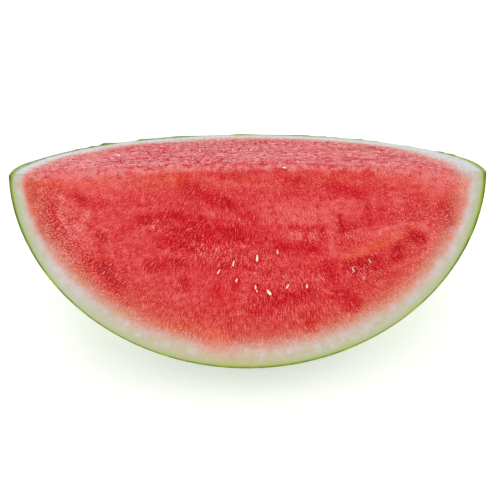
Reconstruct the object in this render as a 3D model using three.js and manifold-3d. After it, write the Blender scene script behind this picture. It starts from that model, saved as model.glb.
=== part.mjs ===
// A quarter of an oval seedless watermelon, cut lengthways from stem end to blossom end.
//
// Millimetres, +Z up. The core edge, where the two cuts meet, runs along X at the top, the cut faces
// slope down at 45 degrees to the front (-Y) and the back (+Y), and the rind is underneath. The wedge
// lies on the small flat of its field spot, and the origin is the middle of that flat.
// Rind and flesh grew as one piece, so the fruit is one solid, with the pips standing out of its faces.
import * as THREE from "three";
import { mergeVertices, toCreasedNormals } from "three/addons/utils/BufferGeometryUtils.js";
import Module from "manifold-3d";

const wasm = await Module();
wasm.setup();

// Driving dimensions of the melon
const melonLength = 270; // stem end to blossom end
const melonDiameter = 230.4; // across the middle
const endTaper = 1.04; // 1 is a true ellipse, and more draws the ends out
const ribCount = 12; // one low rib under each dark stripe of the skin
const ribHeight = 0.35;
const fieldSpotDepth = 0.6; // what the resting flat takes off the round of the skin

// Driving dimensions of the two cuts
const cutTilt = THREE.MathUtils.degToRad(45); // each face, from level
const fleshCrown = { front: 2, back: 6.2 }; // how far the flesh swells out of each cut, at the middle
const knifeWave = { depth: 0.35, length: 46, drift: 0.35 }; // the wandering of the blade
const rimShare = 0.25; // outer share of the cut, over which that wandering dies away at the rind
const bladeHeight = 150;
const bladeOverrun = 18; // how far each cut runs on past the core edge and past the rind
const coreRound = 6; // radius of the rounding along the soft core edge

// Mesh fineness
const skinSteps = { along: 44, around: 88 };
const cutSteps = { along: 62, down: 28, round: 6 };
const pipSides = 8;
const pipRings = 6;
const weldDistance = 1e-4;
const creaseAngle = THREE.MathUtils.degToRad(35); // faces that meet more sharply are shaded apart

// What follows from the sizes of the melon
const halfLength = melonLength / 2;
const radius = melonDiameter / 2;
const axisHeight = radius + ribHeight - fieldSpotDepth;

// Hollows in the flesh: x along the core edge and down from it, half width and half height, depth.
const hollows = {
  front: [
    { x: 99, down: 33, wide: 8.5, high: 6.5, depth: 1.3 },
    { x: 88, down: 42, wide: 7, high: 6, depth: 1.1 },
    { x: 105, down: 20, wide: 11, high: 6, depth: 0.6 },
    { x: 54, down: 29, wide: 4.5, high: 9, depth: 0.9 },
    { x: 66, down: 50, wide: 18, high: 5, depth: 0.9 },
    { x: 34, down: 37, wide: 14, high: 6, depth: 0.5 },
    { x: -80, down: 57, wide: 12, high: 7, depth: 0.8 },
    { x: -84, down: 34, wide: 7, high: 6, depth: 0.7 },
    { x: -4, down: 43, wide: 44, high: 6, depth: 0.6 },
    { x: 12, down: 72, wide: 26, high: 8, depth: 0.5 },
  ],
  back: [
    { x: -62, down: 48, wide: 20, high: 7, depth: 0.8 },
    { x: 30, down: 52, wide: 26, high: 7, depth: 0.7 },
    { x: 86, down: 38, wide: 9, high: 7, depth: 1.1 },
  ],
};

// Pips lie in rows, where the seeds of the melon sit: each row's place below the core edge, then
// each pip's place along the row, its own step down from the row, its size and its turn in degrees.
const pipRows = {
  front: [
    {
      down: 50,
      pips: [
        { x: -16.7, step: 6, long: 3.8, wide: 1, turn: -32 },
        { x: -8.4, step: 1.2, long: 3.9, wide: 1.1, turn: -10 },
        { x: 5.3, step: -1.8, long: 4.2, wide: 1.6, turn: -3 },
        { x: 17, step: -5.5, long: 3.3, wide: 1.2, turn: 5 },
        { x: 60.1, step: 5.5, long: 4, wide: 0.85, turn: 33 },
        { x: 69.5, step: 0.6, long: 3.8, wide: 0.75, turn: 32 },
      ],
    },
    {
      down: 65,
      pips: [
        { x: -6.6, step: -3.8, long: 2.7, wide: 1.1, turn: -20 },
        { x: 4.2, step: 0.4, long: 3.1, wide: 1.3, turn: 5 },
        { x: 4.9, step: 2.9, long: 1.7, wide: 1, turn: 20 },
        { x: 11.9, step: 3.8, long: 4.4, wide: 2, turn: 37 },
        { x: 22.7, step: 0.1, long: 3.6, wide: 1.4, turn: -30 },
        { x: 33.7, step: 0.1, long: 3.1, wide: 1.1, turn: 3 },
      ],
    },
    { down: -3.7, pips: [{ x: 20.7, step: 0, long: 2.6, wide: 1.1, turn: 84 }] },
  ],
  back: [
    {
      down: 50,
      pips: [
        { x: -75.8, step: -8.5, long: 4.6, wide: 2.4, turn: 30 },
        { x: -27.8, step: 0.5, long: 3, wide: 1.4, turn: -15 },
        { x: -8.7, step: 0, long: 2.6, wide: 1.3, turn: 30 },
        { x: 2, step: 0, long: 3, wide: 1.4, turn: 10 },
      ],
    },
  ],
};
const pipShape = { thickness: 0.8, taper: 0.5, sunk: 0.4 }; // shares: of its width, length, thickness
const pipSeat = 0.35; // how far the flesh gives way under a pip

// Colours: the cut from the skin inwards, each at its depth under the skin, then the skin and the pips
const cutLayers = [
  { depth: 0, colour: new THREE.Color(0xc4d07c) },
  { depth: 4, colour: new THREE.Color(0xe6e7cd) },
  { depth: 10, colour: new THREE.Color(0xeadccb) },
  { depth: 17, colour: new THREE.Color(0xe08a7d) },
  { depth: 28, colour: new THREE.Color(0xd9514e) },
  { depth: 60, colour: new THREE.Color(0xcd3a40) },
];
const skinColours = {
  light: new THREE.Color(0x7fa53c),
  dark: new THREE.Color(0x2f5f22),
  fieldSpot: new THREE.Color(0xd9cf8f),
};
const pipColour = new THREE.Color(0xf1dcc2);
const stripe = { edge: [-0.2, 0.6], wander: 0.3, wanderLength: 9 }; // how it starts, and its unevenness
const fieldSpotReach = { along: 58, across: 30 };

// What colours the faces that come from each solid, by the number that the solid goes by.
const painters = new Map();

function toSolid(geometry, painter) {
  const bare = geometry.clone();
  bare.deleteAttribute("normal");
  bare.deleteAttribute("uv");
  const merged = mergeVertices(bare, weldDistance);
  const corners = merged.index.array;
  const triVerts = [];
  for (let i = 0; i < corners.length; i += 3) {
    const [a, b, c] = corners.slice(i, i + 3);
    if (a !== b && b !== c && c !== a) triVerts.push(a, b, c); // a lathe's poles hold empty triangles
  }
  const solid = new wasm.Manifold(
    new wasm.Mesh({
      numProp: 3,
      vertProperties: merged.attributes.position.array,
      triVerts: Uint32Array.from(triVerts),
    }),
  ).asOriginal();
  painters.set(solid.originalID(), painter);
  return solid;
}

// The solid as a mesh whose corners are coloured. Each face keeps corners of its own, so that the
// colour of the skin ends sharply at the cut.
function toGeometry(solid) {
  const { vertProperties, triVerts, runIndex, runOriginalID } = solid.getMesh();
  const places = [];
  const colours = [];
  const point = new THREE.Vector3();
  runOriginalID.forEach((number, run) => {
    const painter = painters.get(number);
    for (const corner of triVerts.slice(runIndex[run], runIndex[run + 1])) {
      point.fromArray(vertProperties, 3 * corner);
      places.push(...point);
      colours.push(...painter(point));
    }
  });
  const geometry = new THREE.BufferGeometry();
  geometry.setAttribute("position", new THREE.Float32BufferAttribute(places, 3));
  geometry.setAttribute("color", new THREE.Float32BufferAttribute(colours, 3));
  return toCreasedNormals(geometry, creaseAngle);
}

// The colour of the cut, by its depth under the skin.
function paintCut(point) {
  const across = Math.hypot(point.y, point.z - axisHeight);
  const reach = Math.hypot(point.x / halfLength, across / radius); // 0 at the middle, 1 at the skin
  const slope = Math.hypot(point.x / halfLength ** 2, across / radius ** 2) / reach;
  const depth = Math.max(0, (1 - reach) / slope);
  const next = cutLayers.findIndex((layer) => layer.depth > depth);
  if (next < 0) return cutLayers.at(-1).colour;
  const outer = cutLayers[next - 1];
  const inner = cutLayers[next];
  const share = (depth - outer.depth) / (inner.depth - outer.depth);
  return outer.colour.clone().lerp(inner.colour, share);
}

// The striped skin, with the pale spot that lay on the ground.
function paintSkin(point) {
  const turn = Math.atan2(point.y, axisHeight - point.z);
  const wander = stripe.wander * Math.sin(point.x / stripe.wanderLength + ribCount * turn);
  const dark = THREE.MathUtils.smoothstep(Math.cos(ribCount * turn) + wander, ...stripe.edge);
  const spot = Math.exp(-((point.x / fieldSpotReach.along) ** 2) - (point.y / fieldSpotReach.across) ** 2);
  return skinColours.light.clone().lerp(skinColours.dark, dark).lerp(skinColours.fieldSpot, spot);
}

const paintPip = () => pipColour;

function moveVertices(geometry, move) {
  const places = geometry.getAttribute("position");
  const point = new THREE.Vector3();
  for (let i = 0; i < places.count; i++) {
    move(point.fromBufferAttribute(places, i));
    places.setXYZ(i, point.x, point.y, point.z);
  }
  return geometry;
}

// The whole melon, its axis along X at axisHeight, with a rib straight below.
function melon() {
  const outline = [];
  for (let i = 0; i <= skinSteps.along; i++) {
    const turn = (Math.PI * i) / skinSteps.along;
    const across = i % skinSteps.along ? radius * Math.sin(turn) ** endTaper : 0;
    outline.push(new THREE.Vector2(across, -halfLength * Math.cos(turn)));
  }
  const geometry = new THREE.LatheGeometry(outline, skinSteps.around);
  moveVertices(geometry, (p) => {
    if (Math.hypot(p.x, p.z) < weldDistance) return;
    const swell = 1 + (ribHeight / radius) * Math.cos(ribCount * Math.atan2(p.x, p.z));
    p.x *= swell;
    p.z *= swell;
  });
  geometry.rotateZ(-Math.PI / 2);
  geometry.translate(0, 0, axisHeight);
  return geometry;
}

// How far the cut flesh stands out of the flat through the axis, at x along the core edge and
// down the face from it: the swell of the flesh, which leaves the stiff rind flat, the wandering
// of the blade and the hollows.
function cutRelief(side, x, down) {
  const onCore = 1 - (x / halfLength) ** 2; // 1 at the middle of the core edge, 0 at its ends
  const inside = onCore - (down / radius) ** 2;
  if (inside <= 0) return 0;
  const fade = Math.min(1, inside / rimShare);
  const phase = (2 * Math.PI) / knifeWave.length;
  const wave = knifeWave.depth * Math.sin(phase * (down + knifeWave.drift * x));
  let height = (fleshCrown[side] * inside ** 2) / onCore + wave * fade;
  for (const h of hollows[side]) {
    height -= h.depth * Math.exp(-(((x - h.x) / h.wide) ** 2) - ((down - h.down) / h.high) ** 2);
  }
  return height;
}

// Carries what is laid out on a level face, x along and y across, onto a cut face of the wedge.
function ontoFace(geometry, side) {
  geometry.rotateX(side === "front" ? cutTilt : -cutTilt);
  geometry.translate(0, 0, axisHeight);
  return geometry;
}

const downOf = (side, y) => (side === "front" ? -y : y);

// All that one cut takes away, as a block with the cut face's relief on its underside.
function blade(side) {
  const reach = radius + 2 * bladeOverrun;
  const length = melonLength + 2 * bladeOverrun;
  const block = new THREE.BoxGeometry(length, reach, bladeHeight, cutSteps.along, cutSteps.down, 1);
  const middle = reach / 2 - bladeOverrun;
  block.translate(0, side === "front" ? -middle : middle, bladeHeight / 2);
  moveVertices(block, (p) => {
    if (p.z < weldDistance) p.z = cutRelief(side, p.x, downOf(side, p.y));
  });
  return ontoFace(block, side);
}

// The upper half of the melon, down to the core edge, where the two cuts meet. Its underside
// arches over the edge, along it and across it, and runs on level past the rounding.
function upperHalf() {
  const length = melonLength + 2 * bladeOverrun;
  const width = melonDiameter + 2 * bladeOverrun;
  const strips = cutSteps.round + 2; // those of the rounding, and one past it on each side
  const block = new THREE.BoxGeometry(length, width, bladeHeight, cutSteps.along, strips, 1);
  block.translate(0, 0, bladeHeight / 2);
  return moveVertices(block, (p) => {
    const front = cutRelief("front", p.x, -cutRelief("back", p.x, 0));
    const back = cutRelief("back", p.x, -front);
    const share = THREE.MathUtils.clamp((p.y * strips) / (width * cutSteps.round), -0.5, 0.5);
    const turn = share * 2 * cutTilt;
    if (Math.abs(p.y) < width / 2 - weldDistance) p.y = coreRound * Math.sin(turn);
    p.y += (back - front) * Math.SQRT1_2;
    p.z += axisHeight + (front + back) * Math.SQRT1_2 + coreRound * (Math.cos(turn) - Math.SQRT2);
  });
}

// A flat, drop-shaped pip, its narrow end towards the core edge, half sunk in the face. One that
// comes out at the core edge sits lower and leans back, as the rounding does there.
function pip(side, { x, down, long, wide, turn }) {
  const drop = new THREE.SphereGeometry(0.5, pipSides, pipRings);
  const upward = side === "front" ? 1 : -1;
  const thick = wide * pipShape.thickness;
  moveVertices(drop, (p) => {
    const slim = 1 - pipShape.taper * Math.max(0, 2 * upward * p.y);
    p.x *= wide * slim;
    p.y *= long;
    p.z *= thick * slim;
  });
  drop.rotateZ(THREE.MathUtils.degToRad(turn));
  const other = side === "front" ? "back" : "front";
  const onRound = Math.max(0, coreRound - (down + cutRelief(other, x, 0)));
  const lean = Math.asin(onRound / coreRound);
  drop.rotateX(-upward * lean);
  const height = cutRelief(side, x, down) - coreRound * (1 - Math.cos(lean)) - pipSeat;
  drop.translate(x, downOf(side, down), height + thick * (0.5 - pipShape.sunk));
  return ontoFace(drop, side);
}

function pipsOf(side) {
  const rows = pipRows[side];
  return rows.flatMap((row) => row.pips.map((p) => pip(side, { ...p, down: row.down + p.step })));
}

// What the fruit lies on, which takes the resting flat off the round of the skin.
function ground() {
  return new THREE.BoxGeometry(melonLength, melonDiameter, radius).translate(0, 0, -radius / 2);
}

function wedge() {
  const pips = [...pipsOf("front"), ...pipsOf("back")];
  let fruit = toSolid(melon(), paintSkin);
  for (const cut of [blade("front"), blade("back"), upperHalf()]) {
    fruit = fruit.subtract(toSolid(cut, paintCut));
  }
  fruit = fruit.subtract(toSolid(ground(), paintSkin));
  for (const drop of pips) {
    fruit = fruit.add(toSolid(drop, paintPip));
  }
  return toGeometry(fruit);
}

const fruit = new THREE.Mesh(
  wedge(),
  new THREE.MeshStandardMaterial({ vertexColors: true, roughness: 0.42, metalness: 0 }),
);
fruit.name = "watermelon_wedge";

const watermelonWedge = new THREE.Group();
watermelonWedge.add(fruit);

export default watermelonWedge;
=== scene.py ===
import math
from functools import partialmethod

import bpy
from mathutils import Matrix, Vector


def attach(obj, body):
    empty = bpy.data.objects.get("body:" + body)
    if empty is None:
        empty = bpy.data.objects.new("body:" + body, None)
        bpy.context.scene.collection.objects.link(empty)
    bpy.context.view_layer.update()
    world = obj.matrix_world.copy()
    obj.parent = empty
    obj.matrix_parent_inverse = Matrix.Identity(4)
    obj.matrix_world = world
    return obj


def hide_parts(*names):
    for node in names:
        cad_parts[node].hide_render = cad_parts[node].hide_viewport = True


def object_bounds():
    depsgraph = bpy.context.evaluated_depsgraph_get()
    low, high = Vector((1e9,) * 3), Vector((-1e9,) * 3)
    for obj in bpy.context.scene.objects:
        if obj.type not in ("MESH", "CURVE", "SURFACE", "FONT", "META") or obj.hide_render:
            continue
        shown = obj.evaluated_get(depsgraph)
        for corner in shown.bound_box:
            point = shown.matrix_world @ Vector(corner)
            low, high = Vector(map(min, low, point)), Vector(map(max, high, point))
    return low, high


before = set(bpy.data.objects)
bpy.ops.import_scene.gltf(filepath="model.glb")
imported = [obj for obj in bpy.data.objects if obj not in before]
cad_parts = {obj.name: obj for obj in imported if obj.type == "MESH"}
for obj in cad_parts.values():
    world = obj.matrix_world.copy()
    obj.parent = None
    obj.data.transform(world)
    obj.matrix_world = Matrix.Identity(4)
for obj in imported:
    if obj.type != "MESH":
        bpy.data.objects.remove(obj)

boxLow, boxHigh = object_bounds()
mm = 0.001
halfRoot = math.sqrt(0.5)
print("frame loaded,", round((boxHigh.x - boxLow.x) / mm), "mm long")


class Flow:
    # What comes out of a node's socket, so that a formula in a tree reads as a formula
    def __init__(self, tree, socket):
        self.tree = tree
        self.socket = socket

    def run(self, operation, *others):
        return compute(self.tree, operation, self, *others)

    __add__ = __radd__ = partialmethod(run, "ADD")
    __mul__ = __rmul__ = partialmethod(run, "MULTIPLY")
    __sub__ = partialmethod(run, "SUBTRACT")
    __truediv__ = partialmethod(run, "DIVIDE")
    __pow__ = partialmethod(run, "POWER")
    sine = partialmethod(run, "SINE")
    cosine = partialmethod(run, "COSINE")
    root = partialmethod(run, "SQRT")
    size = partialmethod(run, "ABSOLUTE")
    atLeast = partialmethod(run, "MAXIMUM")
    atMost = partialmethod(run, "MINIMUM")
    isAbove = partialmethod(run, "GREATER_THAN")
    turnFrom = partialmethod(run, "ARCTAN2")

    def __neg__(self):
        return self * -1

    def __rsub__(self, other):
        return compute(self.tree, "SUBTRACT", other, self)

    def __rtruediv__(self, other):
        return compute(self.tree, "DIVIDE", other, self)

    def within(self, least, most):
        return self.atLeast(least).atMost(most)

    def bell(self):
        return (-(self * self)).run("EXPONENT")

    def hump(self, centre, reach):
        return ((self - centre) / reach).bell()

    def rise(self, low, high):
        # 0 up to low, 1 from high, and smooth in between
        inputs = {"Value": self, "From Min": low, "From Max": high}
        return flow(self.tree, "ShaderNodeMapRange", inputs, interpolation_type="SMOOTHSTEP")

    def fall(self, low, high):
        return 1 - self.rise(low, high)

    def past(self, start, rate, most):
        # 0 up to start, and then so much more for each unit, up to the most
        return ((self - start) * rate).within(0, most)

    def between(self, low, high):
        # low where this is 0, and high where it is 1
        return self * (high - low) + low

    def toward(self, other, share):
        return self + (other - self) * share


def compute(tree, operation, *values):
    node = addNode(tree, "ShaderNodeMath", operation=operation)
    for socket, value in zip(node.inputs, values):
        feed(tree, socket, value)
    return out(node)


def feed(tree, socket, value):
    if isinstance(value, Flow):
        tree.links.new(value.socket, socket)
    else:
        socket.default_value = value


def addNode(tree, kind, inputs=None, **settings):
    node = tree.nodes.new(kind)
    for name, value in settings.items():
        setattr(node, name, value)
    for name, value in (inputs or {}).items():
        feed(tree, node.inputs[name], value)
    return node


def out(node, name=0):
    return Flow(node.id_data, node.outputs[name])


def flow(tree, kind, inputs=None, **settings):
    # A new node's first output
    return out(addNode(tree, kind, inputs, **settings))


def combine(tree, x, y, z=0.0):
    return flow(tree, "ShaderNodeCombineXYZ", {"X": x, "Y": y, "Z": z})


def split(vector):
    node = addNode(vector.tree, "ShaderNodeSeparateXYZ", {0: vector})
    return out(node, "X"), out(node, "Y"), out(node, "Z")


def vectorMath(operation, first, second=None, scale=None, output=0):
    node = addNode(first.tree, "ShaderNodeVectorMath", {0: first}, operation=operation)
    if second is not None:
        feed(first.tree, node.inputs[1], second)
    if scale is not None:
        feed(first.tree, node.inputs["Scale"], scale)
    return out(node, output)


def noise(vector, grain, detail, roughness, curl=0.0):
    # grain is the size of its lumps, in the vector's own units
    inputs = {"Vector": vector, "Scale": 1 / grain, "Detail": detail, "Roughness": roughness}
    return flow(vector.tree, "ShaderNodeTexNoise", inputs | {"Distortion": curl})


def newGroup(name, kind, inputs, outputs):
    # inputs and outputs: each socket's name with its first number, or with its kind
    tree = bpy.data.node_groups.new(name, kind)
    for inOut, sockets in (("INPUT", inputs), ("OUTPUT", outputs)):
        for label, first in sockets.items():
            socketKind = first if isinstance(first, str) else type(first).__name__.title()
            socket = tree.interface.new_socket(label, in_out=inOut, socket_type="NodeSocket" + socketKind)
            if not isinstance(first, str):
                socket.default_value = first
    entry = tree.nodes.new("NodeGroupInput")
    return tree, {label: out(entry, label) for label in inputs}


def closeGroup(tree, outputs):
    exitNode = tree.nodes.new("NodeGroupOutput")
    for label, value in outputs.items():
        feed(tree, exitNode.inputs[label], value)


def useGroup(tree, group, inputs):
    kind = "GeometryNodeGroup" if tree.bl_idname == "GeometryNodeTree" else "ShaderNodeGroup"
    node = tree.nodes.new(kind)
    node.node_tree = group
    for name, value in inputs.items():
        feed(tree, node.inputs[name], value)
    return node


def applyTree(target, tree, values):
    # Runs a geometry tree on target, its inputs set by their socket identifiers, and keeps the plain mesh
    modifier = target.modifiers.new(tree.name, "NODES")
    modifier.node_group = tree
    for item in tree.interface.items_tree:
        if item.item_type == "SOCKET" and item.in_out == "INPUT" and item.name in values:
            modifier[item.identifier] = values[item.name]
    bpy.context.view_layer.update()
    evaluated = target.evaluated_get(bpy.context.evaluated_depsgraph_get())
    mesh = bpy.data.meshes.new_from_object(evaluated)
    target.modifiers.remove(modifier)
    target.data = mesh


def newObject(name, data):
    made = bpy.data.objects.new(name, data)
    bpy.context.scene.collection.objects.link(made)
    return made


melon = {
    "length": boxHigh.x - boxLow.x,
    "diameter": 230.4 * mm,
    "endTaper": 1.04,  # 1 is a true ellipse, and more draws the ends out
    "ribCount": 12,
    "ribHeight": 0.35 * mm,
    "groundCut": 0.6 * mm,  # what the resting flat takes off the round of the skin
}

cuts = {
    "lean": math.pi / 4,  # of each cut from upright
    "crown": {"front": 2 * mm, "back": 6.2 * mm},  # swell of the flesh out of each cut
    "waveDepth": 0.35 * mm,
    "waveLength": 46 * mm,
    "waveDrift": 0.35,
    "rimShare": 0.25,  # outer share over which the wave dies away
    "coreRound": 6 * mm,
    "tipReach": 12 * mm,  # the rounding of the core edge dies away over this much rim
    "roughDepth": 0.34 * mm,  # small unevenness of the flesh
    "roughGrain": 5.5 * mm,
    "roughNoise": (3, 0.55),  # its detail and roughness
    "roughFade": (1 * mm, 9 * mm),  # it comes in between these depths under the skin
}

detail = {
    "columns": 290,
    "frontRows": 150,
    "backRows": 142,
    "skinRows": 36,
    "coreCrowding": 1.25,  # above 1, rows lie closer there
    "rimCrowding": 1.3,
    "rulerColumns": 720,
    "weld": 0.001 * mm,
    "sharpFrom": math.radians(50),
}

# x along the core edge and down from it, half width, half height and depth, in mm
hollows = {
    "front": [
        (99, 33, 8.5, 6.5, 1.3),
        (88, 42, 7, 6, 1.1),
        (105, 20, 11, 6, 0.6),
        (54, 29, 4.5, 9, 0.9),
        (66, 50, 18, 5, 0.9),
        (34, 37, 14, 6, 0.5),
        (-80, 57, 12, 7, 0.8),
        (-84, 34, 7, 6, 0.7),
        (-4, 43, 44, 6, 0.6),
        (12, 72, 26, 8, 0.5),
    ],
    "back": [
        (-62, 48, 20, 7, 0.8),
        (30, 52, 26, 7, 0.7),
        (86, 38, 9, 7, 1.1),
    ],
}

# Lips of skin that stand up from the back's rim where the knife passed: x, how far they run out
# towards the side of the sign, and height, in mm. The other side of each ends more sharply.
lips = [
    (-103, 4, 0.3),
    (-95, 3, 0.5),
    (-87.5, 6, 1.15),
    (-66, 7, 0.75),
    (-52, 22, 0.45),
    (-44, 10, 0.35),
    (-6, 13, 0.5),
    (36, -14, 0.45),
    (48, -4, 0.35),
    (55, -4, 0.25),
    (70, -4, 0.5),
    (79, -3, 0.3),
    (91, -7, -0.6),
    (105, -4, -0.3),
    (111, -2.5, -0.5),
    (116, -3, 0.5),
    (121.5, -3.5, 0.6),
]
lipShape = {"sharpness": 3, "foot": 1.1 * mm, "skinDepth": 0.06}  # skinDepth in radians round the melon
tipLifts = [(-133.5, 7, 1.1), (134, -14, 1.3)]  # the back's corners, which bend up whole
tipFoot = 12 * mm

# Pips: x, down, length, width, turn in degrees, and how amber the husk is
pipSeats = {
    "front": [
        (-16.7, 56.0, 3.8, 1.0, -32, 0.1),
        (-8.4, 51.2, 3.9, 1.1, -10, 0.3),
        (5.3, 48.2, 4.2, 1.6, -3, 0),
        (17, 44.5, 3.3, 1.2, 5, 0.9),
        (60.1, 55.5, 4, 0.85, 33, 0.8),
        (69.5, 50.6, 3.8, 0.75, 32, 1),
        (-6.6, 61.2, 2.7, 1.1, -20, 0.2),
        (4.2, 65.4, 3.1, 1.3, 5, 0.5),
        (4.9, 67.9, 1.7, 1.0, 20, 0.3),
        (11.9, 68.8, 4.4, 2.0, 37, 0),
        (22.7, 65.1, 3.6, 1.4, -30, 0.6),
        (33.7, 65.1, 3.1, 1.1, 3, 0.3),
        (20.7, -3.7, 2.6, 1.1, 84, 0.1),
    ],
    "back": [
        (-75.8, 41.5, 4.6, 2.4, 30, 0),
        (-27.8, 50.5, 3, 1.4, -15, 0.3),
        (2, 50, 3, 1.4, 10, 0.3),
        (-8.7, 50, 2.6, 1.3, 30, 0.3),
    ],
}
pipBed = {"wide": 1.2, "long": 0.7, "depth": 0.35}  # the dent round a pip, in its widths, its lengths and mm
pipShadeRing = {"margin": 2.2, "strength": 0.8}  # painted shade round a pip

# Marks in the flesh as soft strokes: from x and down, to x and down, reach in mm, strength
fleshMarks = {}
fleshMarks["front", "deep"] = [
    (-36, 6, -12, 16, 8, 0.75), (-12, 16, 4, 25, 5, 0.5),
    (-70, 30, -58, 26, 5, 0.6), (-58, 25, -36, 21, 6.5, 0.65),
    (-42, 30, -8, 33, 12, 0.7), (-50, 38, -30, 40, 7, 0.6),
    (-8, 34, 8, 37, 10, 0.6), (18, 41, 37, 43, 6, 0.75),
    (24, 30.5, 42, 30, 2.6, 0.7), (32.8, 32, 32.8, 39, 1.9, 0.6),
    (42.5, 31, 42.5, 40, 2.6, 0.8), (52, 24, 53, 32, 3, 0.9),
    (54, 32, 60, 30, 3.4, 0.9), (68, 18, 69.5, 28, 3, 0.8),
    (76, 19, 76, 25, 2.6, 0.5), (92, 17, 93, 19, 7, 0.25),
    (110, 20, 114, 30, 7, 0.6), (93.5, 36, 99, 37.5, 6, 1),
    (86, 42, 85, 48, 6, 1), (56, 53, 74, 49, 5, 0.9),
    (46, 54, 48, 60, 8, 0.8), (60, 57, 61, 60, 3.5, 0.6),
    (54, 70, 61, 76, 9, 0.8), (36, 84, 36, 91, 6, 0.6),
    (3, 79, 16, 74, 7, 0.7), (16, 73, 36, 69, 7, 0.8),
    (-56, 52, -40, 52, 6, 0.75), (-40, 51, -12, 53, 4.5, 0.5),
    (-12, 53, 40, 56, 5, 0.35), (-37, 61, -36, 65, 5.5, 0.85),
    (-18, 65, -18, 69, 5.5, 0.7), (-7, 62, -7, 66, 5, 0.6),
    (-90, 50, -82, 54, 8, 0.6), (-82, 55, -75, 64, 7.5, 0.85),
    (-98, 10, -94, 14, 6, 0.6), (-94, 13, -84, 17, 5, 0.4),
    (-87, 30, -83, 36, 5, 0.4), (-84.5, 34, -83, 36.5, 2.8, 1),
    (-112, 18, -108, 34, 5, 0.4), (46, 6, 64, 11, 6, 0.7),
    (22, 1, 34, 4, 4, 0.5), (-42, 43, -6, 45, 5, 0.4),
    (-122, 6, -116, 22, 7, 0.5), (-117, 28, -112, 37, 6, 0.45),
    (115, 18, 117, 27, 6, 0.4), (-70, 54, -52, 55, 5, 0.3),
    (66, 55, 80, 56, 6, 0.4), (-38, 32, -22, 38, 6, 0.3),
    (-28, 18, -26, 24, 5, 0.4), (-10, 72, -10, 96, 5, 0.3),
    (-14, 0, -6, 1, 5, 0.5), (3, 66, 8, 68, 4, 0.4),
    (40, 72, 48, 73, 5, 0.4),
]
fleshMarks["front", "pale"] = [
    (12, 20, 48, 22, 11, 0.65), (-40, 27, -37, 29, 5, 0.7),
    (-33, 31, -31, 32, 4, 0.5), (26, 35.5, 29.4, 35.7, 4, 1.8),
    (36.4, 35.5, 39.4, 35.5, 3.8, 1.8), (-104, 17, -99, 33, 5, 0.35),
    (-92, 6, -52, 7, 8, 0.4), (-78, 42, -60, 58, 9, 0.3),
    (-24, 23, -4, 23, 5, 0.4), (64, 35, 84, 31, 6, 0.4),
    (66, 78, 94, 60, 7, 0.15), (-62, 72, -44, 84, 9, 0.3),
    (99, 30, 104, 42, 3, 0.6), (74, 33, 88, 28.5, 1.6, 0.9),
    (88, 28.5, 99, 29, 1.8, 1.3), (99, 29, 105, 34, 1.8, 1.4),
    (105, 34, 104, 43, 1.8, 1.4), (104, 43, 96, 51, 1.8, 1),
    (-105, 12, -107, 21, 1.6, 1), (-107, 21, -100, 35, 1.8, 1.5),
    (-100, 35, -91, 21, 1.8, 1.4), (-90, 33, -85, 29, 1.5, 1),
    (-85, 29, -79, 32, 1.5, 1), (-79, 32, -79, 39, 1.5, 1),
    (24, 44, 27, 45.3, 1.6, 0.8), (100, 6, 122, 10, 8, 0.4),
    (-12, 4, 16, 6, 5, 0.3), (-95, 12, -90, 42, 9, 0.45),
    (-94, 48, -84, 49, 5, 0.4), (-72, 66, -68, 68, 5, 0.3),
    (-54, 66, -36, 75, 7, 0.35), (56, 20, 76, 22, 7, 0.35),
    (60, 34, 72, 36, 5, 0.35), (38, 66, 38, 67, 4, 0.4),
    (2, 8, 14, 8, 5, 0.3), (-38, 7, -32, 8, 4, 0.3),
    (48, 30, 48, 46, 5, 0.6), (60, 14, 92, 14, 9, 0.35),
    (84, 4, 100, 6, 8, 0.4), (20, 26, 46, 27, 6, 0.45),
    (-6, 31, 0, 31, 4, 0.4),
]
fleshMarks["front", "warm"] = [
    (58, 48, 84, 36, 5.5, 1), (84, 36, 98, 31, 4.5, 0.5),
    (66, 43, 84, 37.5, 2.5, 1), (-126, 3, -40, 2, 8, 0.7),
    (-124, 2, -114, 30, 7, 0.5), (-40, 3, 112, 3, 6, 0.4),
    (-122, 6, -122, 20, 7, 0.8), (-26, 101, -9, 105, 7, 0.9),
    (-26, 91, -8, 97, 6, 0.5), (-60, 86, -14, 96, 9, 0.5),
    (40, 57, 41, 57, 5, 0.7), (17, 44, 17, 45, 3.5, 0.5),
    (22, 64, 23, 64, 4, 0.5), (58, 54, 61, 57, 4, 0.5),
    (-0.5, 58, -0.5, 60, 1.2, 0.9),
]
# places of more pale specks and of painted glints
fleshMarks["front", "fleck"] = [
    (-62, 30, -46, 29, 4, 0.9), (-28, 43, -8, 46, 7, 1),
    (-106, 12, -100, 34, 9, 0.9), (-98, 32, -86, 18, 6, 0.5),
    (-107, 20, -101, 34, 2.6, 1.5), (-100, 34, -91, 21, 2.6, 1.5),
    (-76, 9, -64, 7, 6, 0.6), (-84, 33, -83, 35, 4, 0.9),
    (-82, 56, -77, 58, 6, 0.7), (0, 40, 10, 44, 6, 0.7),
    (54, 35, 58, 36, 4, 1), (60, 56, 74, 60, 8, 0.6),
    (84, 20, 108, 28, 9, 0.5), (-60, 48, -42, 54, 9, 0.4),
]
fleshMarks["front", "rough"] = [
    (-112, 14, -102, 40, 16, 0.8), (-95, 48, -76, 62, 14, 0.7),
    (-58, 28, -30, 31, 9, 0.5), (-38, 44, 8, 50, 15, 0.9),
    (10, 58, 40, 62, 13, 0.7), (28, 33, 62, 36, 10, 0.8),
    (60, 56, 74, 58, 11, 0.8), (0, 74, 22, 80, 10, 0.5),
    (92, 22, 112, 26, 12, 0.6), (84, 38, 98, 44, 10, 0.5),
]
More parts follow.
